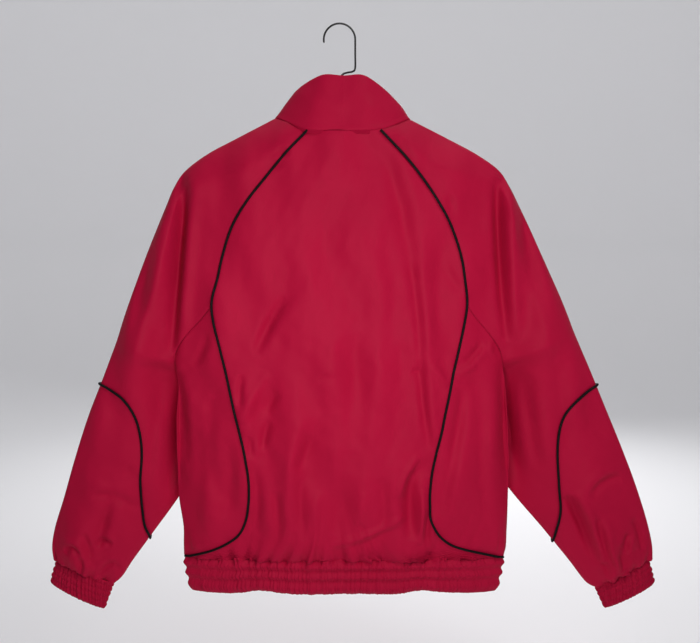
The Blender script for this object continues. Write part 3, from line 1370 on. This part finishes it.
def stitch_row(name, path, outward, material, pitch=3.3, length=2.5, radius=0.3):
    """Sewing thread along a path: short spindles, each of four rings of four points carried along its
    stretch of the path, thickest and highest in the middle and sunk in the cloth at both ends."""
    at = path_length(path)
    u = np.linspace(-1, 1, 4)
    place = np.arange(pitch, at[-1] - pitch, pitch)[:, None] + u * length / 2
    centre = np.stack([np.interp(place, at, path[:, k]) for k in range(3)], -1)
    lift = np.stack([np.interp(place, at, outward[:, k]) for k in range(3)], -1)
    along = np.gradient(centre, axis=1)
    across = np.cross(along, lift)
    across /= np.linalg.norm(across, axis=-1, keepdims=True)
    centre = centre + (0.7 * radius * (1 - 1.4 * u**2))[:, None] * lift
    angle = np.linspace(0, 2 * np.pi, 4, endpoint=False)[:, None]
    thick = (radius * np.sqrt(1 - 0.9 * u**2))[:, None, None]
    ring = np.cos(angle) * across[:, :, None] + np.sin(angle) * lift[:, :, None]
    points = centre[:, :, None] + thick * ring
    index = np.arange(points[..., 0].size).reshape(points.shape[:3])
    after = np.roll(index, -1, axis=2)
    faces = np.stack([index[:, :-1], index[:, 1:], after[:, 1:], after[:, :-1]], -1).reshape(-1, 4).tolist()
    faces += index[:, 0].tolist() + index[:, -1, ::-1].tolist()
    return mesh_object(name, points, faces, material)


def zip_line(edges):
    """Heights down the zip, a millimetre apart, and how far its middle stands forward: the edges of the
    collar, the front and the hem band, evened."""
    edge = np.concatenate(edges)
    edge = edge[np.argsort(-edge[:, 2], kind="stable")]
    z = np.arange(ZIP_TOP, HEM_BOTTOM + 0.5, -1.0)
    y = np.interp(-z, -edge[:, 2], edge[:, 1])
    return z, evened(y[:, None], 40)[:, 0]


def make_zip_tape(side, z, y):
    """One tape: a narrow strip that reaches in behind the front's edge, with a fine cord along its own
    edge."""
    across = np.array([0.7, 1.2, 2.2, 4.0, 6.0, 8.0, 9.6, 11.2])
    x = np.broadcast_to(ZIP_X + side * across, (len(z), len(across)))
    depth = ZIP_SUNK + 0.25 * (across > 5)
    grid = np.stack([x, y[:, None] - depth, np.broadcast_to(z[:, None], x.shape)], -1)
    grid = grid[:, ::-1]
    name = side_name(side)
    piece = sheet_object(f"zip_tape_{name}", grid, zip_tape_weave, TAPE_WALL, flip=side < 0)
    return settle(piece, "zip_tape", f"zip_half_{name}")


def make_zip_teeth(side, z, y):
    """One row of moulded teeth: the same six-sided profile again and again, every other one in the gaps of
    the other row. The profile lies across the zip, narrow where it locks over the middle."""
    profile = np.array([(-0.55, -0.1), (0.0, 0.75), (2.3, 0.75), (3.1, 0.3), (3.1, -0.7), (-0.3, -0.7)])
    start = z[0] - 3.0 - (0.5 * TOOTH_PITCH if side > 0 else 0)
    middle = np.arange(start, HEM_BOTTOM + 12, -TOOTH_PITCH)
    forward = np.interp(-middle, -z, y) - ZIP_SUNK + 0.7
    half = 0.5 * TOOTH_PITCH - 0.68
    x = np.broadcast_to(ZIP_X + side * profile[:, 0], (len(middle), 2, 6))
    depth = np.broadcast_to(forward[:, None, None] + profile[:, 1], x.shape)
    height = np.broadcast_to(middle[:, None, None] + np.array([half, -half])[:, None], x.shape)
    index = np.arange(x.size).reshape(x.shape)
    after = np.roll(index, -1, axis=2)
    walls = np.stack([index[:, 0], index[:, 1], after[:, 1], after[:, 0]], -1).reshape(-1, 4).tolist()
    faces = walls + index[:, 0, ::-1].tolist() + index[:, 1].tolist()
    if side > 0:
        faces = [face[::-1] for face in faces]
    points = np.stack([x, depth, height], -1)
    settle(mesh_object(f"zip_teeth_{side_name(side)}", points, faces, zip_plastic, soft=False), "zip_tape")


def rounded(width, height, radius, taper=0.0, count=6):
    """The outline of a rounded rectangle about the origin, narrower at its bottom by taper, as X and Z."""
    line = []
    for cx, cz, turn in ((1, 1, 0), (-1, 1, 90), (-1, -1, 180), (1, -1, 270)):
        angle = np.radians(turn + np.linspace(0, 90, count))
        half = width / 2 - (taper / 2 if cz < 0 else 0)
        line.append(np.stack([
            cx * (half - radius) + radius * np.cos(angle), cz * (height / 2 - radius) + radius * np.sin(angle)
        ], -1))
    return np.concatenate(line)


def plate(name, outline, low, high, middle, finish, hole=None, edge=0.25):
    """A flat plate from an outline of X and Z about its middle, between two depths in Y. A hole has as many
    points as the outline. Bevel rounds its edges."""
    loops = [outline] if hole is None else [outline, hole]
    flat = np.concatenate(loops) + np.asarray(middle, float)
    points = np.concatenate([np.insert(flat, 1, low, axis=1), np.insert(flat, 1, high, axis=1)])
    count, total = len(outline), len(flat)
    ring = np.arange(count)
    after = np.roll(ring, -1)
    faces = np.stack([ring, after, after + total, ring + total], -1)[:, ::-1].tolist()
    if hole is None:
        faces += [ring.tolist(), (ring + total)[::-1].tolist()]
    else:
        inner, inner_after = ring + count, after + count
        faces += np.stack([inner, inner_after, inner_after + total, inner + total], -1).tolist()
        faces += np.stack([ring, after, inner_after, inner], -1).tolist()
        faces += (np.stack([ring, inner, inner_after, after], -1) + total).tolist()
    made = mesh_object(name, points, faces, finish, soft=False)
    bevel = made.modifiers.new("edges", "BEVEL")
    bevel.width = edge * MM
    bevel.segments = 2
    bevel.limit_method = "ANGLE"
    return made


def make_slider():
    """The slider: a back plate and a shield-shaped face joined by a body, with a bail arched along the
    zip."""
    middle = (ZIP_X, SLIDER_TOP - SLIDER_HEIGHT / 2)
    shield = rounded(9.0, SLIDER_HEIGHT, 2.4, taper=2.2)
    face = plate("slider_face", shield, SLIDER_FRONT - 1.1, SLIDER_FRONT, middle, enamel)
    core = rounded(7.4, SLIDER_HEIGHT - 1.0, 2.0, taper=2.0)
    body = plate("slider_body", core, SLIDER_FRONT - 2.6, SLIDER_FRONT - 0.9, middle, enamel)
    angle = np.linspace(0, np.pi, 25)
    arch = np.stack([
        0 * angle + ZIP_X, SLIDER_FRONT - 0.8 + 5.4 * np.sin(angle) ** 0.8, middle[1] + 4.0 * np.cos(angle)
    ], -1)
    bail = tube_object("slider_bail", arch, 0.75 + 0.25 * np.abs(np.cos(angle)), enamel)
    settle(face, "zip_metal", "zip_slider")
    for piece in (body, bail):
        settle(piece, "zip_metal")


def make_pull_tab():
    """The pull tab: a long plate with a rounded window that its bar closes under the bail, and grip
    bars."""
    low, high = TAB_AXIS_Y - TAB_BAR / 2, TAB_AXIS_Y + TAB_BAR / 2
    middle = (ZIP_X, TAB_AXIS_Z + TAB_BAR / 2 - TAB_LENGTH / 2)
    outline = rounded(7.0, TAB_LENGTH, 2.0, taper=1.4, count=9)
    hole = rounded(3.4, TAB_WINDOW, 1.2, count=9) + np.array([0, (TAB_LENGTH - TAB_WINDOW) / 2 - TAB_BAR])
    tab = plate("pull_tab_plate", outline, low, high, middle, enamel, hole=hole, edge=0.2)
    settle(tab, "zip_metal", "zip_pull_tab", body="pull_tab")
    for number in range(5):
        place = (ZIP_X, TAB_AXIS_Z - 15.5 - 2.6 * number)
        grip = rounded(4.2, 1.1, 0.5)
        bar = plate(f"pull_tab_grip_{number}", grip, low - 0.25, high + 0.25, place, enamel, edge=0.15)
        settle(bar, "zip_metal", body="pull_tab")


def make_zip(edges):
    """The tapes, the teeth, the box at the foot, the slider and the pull tab. The tapes are returned."""
    z, y = zip_line(edges)
    tapes = []
    for side in (-1, 1):
        tapes.append(make_zip_tape(side, z, y))
        make_zip_teeth(side, z, y)
    low = np.interp(-(HEM_BOTTOM + 6), -z, y) - ZIP_SUNK
    middle = (ZIP_X, HEM_BOTTOM + 6.2)
    settle(plate("zip_box", rounded(8.4, 9.0, 1.2), low - 0.9, low + 1.9, middle, zip_plastic), "zip_tape")
    make_slider()
    make_pull_tab()
    return tapes


# ---------------------------------------------------------------- hanger


def make_hanger():
    """The arms as a round bar with rounded ends, along the curve through the solids' own points, and the
    hook as a drawn wire: an arc, then the bent shank down into the bar."""
    line = curve_points(np.array(ARM, float), 161)
    path = np.stack([line[:, 0], 0 * line[:, 0], line[:, 1]], -1)
    at = path_length(path)
    from_end = np.minimum(np.minimum(at, at[-1] - at) / ARM_RADIUS, 1)
    radius = ARM_RADIUS * np.sqrt(np.maximum(1 - (1 - from_end) ** 2, 0.02))
    settle(tube_object("hanger_bar", path, radius, hanger_finish, sides=28), "hanger_plastic", "hanger_body")
    angle = np.radians(np.linspace(HOOK_TIP_TURN, 0, 49))
    arc = np.stack(
        [HOOK_RADIUS * np.cos(angle), 0 * angle, HOOK_WIRE - HOOK_RADIUS + HOOK_RADIUS * np.sin(angle)], -1
    )
    shank = np.array([(x, 0, z) for x, z in HOOK_SHANK], float)
    path = np.concatenate([arc, curve_points(shank, 43)])
    at = path_length(path)
    tip = np.minimum(at / HOOK_WIRE, 1)
    radius = HOOK_WIRE * np.sqrt(np.maximum(1 - (1 - tip) ** 2, 0.05))
    settle(tube_object("hook_wire", path, radius, wire_steel, sides=16), "hook_wire", "hanger_hook")


back_piece, back_points = make_back()
collar_piece, collar_grid = make_collar()
hem_piece, hem_points = make_hem()
sewn = [back_piece, collar_piece, hem_piece]
for side in (-1, 1):
    front, front_grid = make_front(side)
    sewn += [front, make_side(side), make_sleeve(side), make_forearm(side), make_cuff(side)]
    make_back_piping(side, back_points)
    make_forearm_piping(side)
sewn += make_zip([collar_grid[::-1, 0], front_grid[:, -1], hem_points[:, 0]])
make_hanger()

# ---------------------------------------------------------------- stage, lights and camera, in metres

BOWL_PROFILE = ((0.0, 0), (2.4, 0), (3.2, 0.03), (3.9, 0.25), (4.3, 0.7), (4.5, 1.4), (4.55, 4.2))
FLOOR_HEIGHT = -1.25
# Lights: name, place, aim, width and height, and watts.
LIGHTS = (
    ("key", (0.02, -0.74, -0.47), (0.02, 0, -0.47), (0.35, 0.35), 3.0),
    ("above", (0.75, -1.2, 0.95), (0, 0, -0.45), (0.5, 0.5), 11),
    ("behind", (0.4, 2.4, 0.4), (0, 0, -0.45), (1.4, 1.4), 34),
    ("paper", (0, 0.6, 2.4), (0, 4.2, -0.6), (3.0, 1.0), 80),
)
SKY_COLOUR = (0.95, 0.96, 1.0, 1)
SKY_STRENGTH = 0.06
CAMERA_PLACE = (0.015989, -1.412859, -0.294207)
CAMERA_TILT = 83.5
CAMERA_LENS = 46.286
CAMERA_SENSOR = 36


def stage_bowl():
    """A plain pale floor that turns up into a low wall far round the object: a profile turned about Z."""
    line = curve_points(np.array(BOWL_PROFILE), 60)
    angle = np.linspace(0, 2 * np.pi, 97)
    x, y = line[:, :1] * np.cos(angle), line[:, :1] * np.sin(angle)
    z = np.broadcast_to(line[:, 1:] + FLOOR_HEIGHT, x.shape)
    paper, *_ = new_material("studio_paper", (0.80, 0.80, 0.82), 0.9)
    sheet_object("studio_floor", np.stack([x, y, z], -1) / MM, paper, 0, flip=True)


def area_light(name, place, aim, size, watts):
    data = bpy.data.lights.new(name, "AREA")
    data.shape = "RECTANGLE"
    data.size, data.size_y = size
    data.energy = watts
    lamp = bpy.data.objects.new(name, data)
    lamp.location = place
    lamp.visible_camera = False
    lamp.rotation_euler = (Vector(aim) - Vector(place)).to_track_quat("-Z", "Y").to_euler()
    bpy.context.scene.collection.objects.link(lamp)


def studio():
    stage_bowl()
    for light in LIGHTS:
        area_light(*light)
    world = bpy.data.worlds.new("soft_sky")
    world.use_nodes = True
    sky = world.node_tree.nodes["Background"]
    sky.inputs["Color"].default_value = SKY_COLOUR
    sky.inputs["Strength"].default_value = SKY_STRENGTH
    bpy.context.scene.view_settings.view_transform = "Standard"
    bpy.context.scene.world = world
    data = bpy.data.cameras.new("camera")
    data.lens = CAMERA_LENS
    data.sensor_width = CAMERA_SENSOR
    data.clip_end = 50
    camera = bpy.data.objects.new("camera", data)
    camera.location = CAMERA_PLACE
    camera.rotation_euler = (math.radians(CAMERA_TILT), 0, 0)
    bpy.context.scene.collection.objects.link(camera)
    bpy.context.scene.camera = camera


studio()
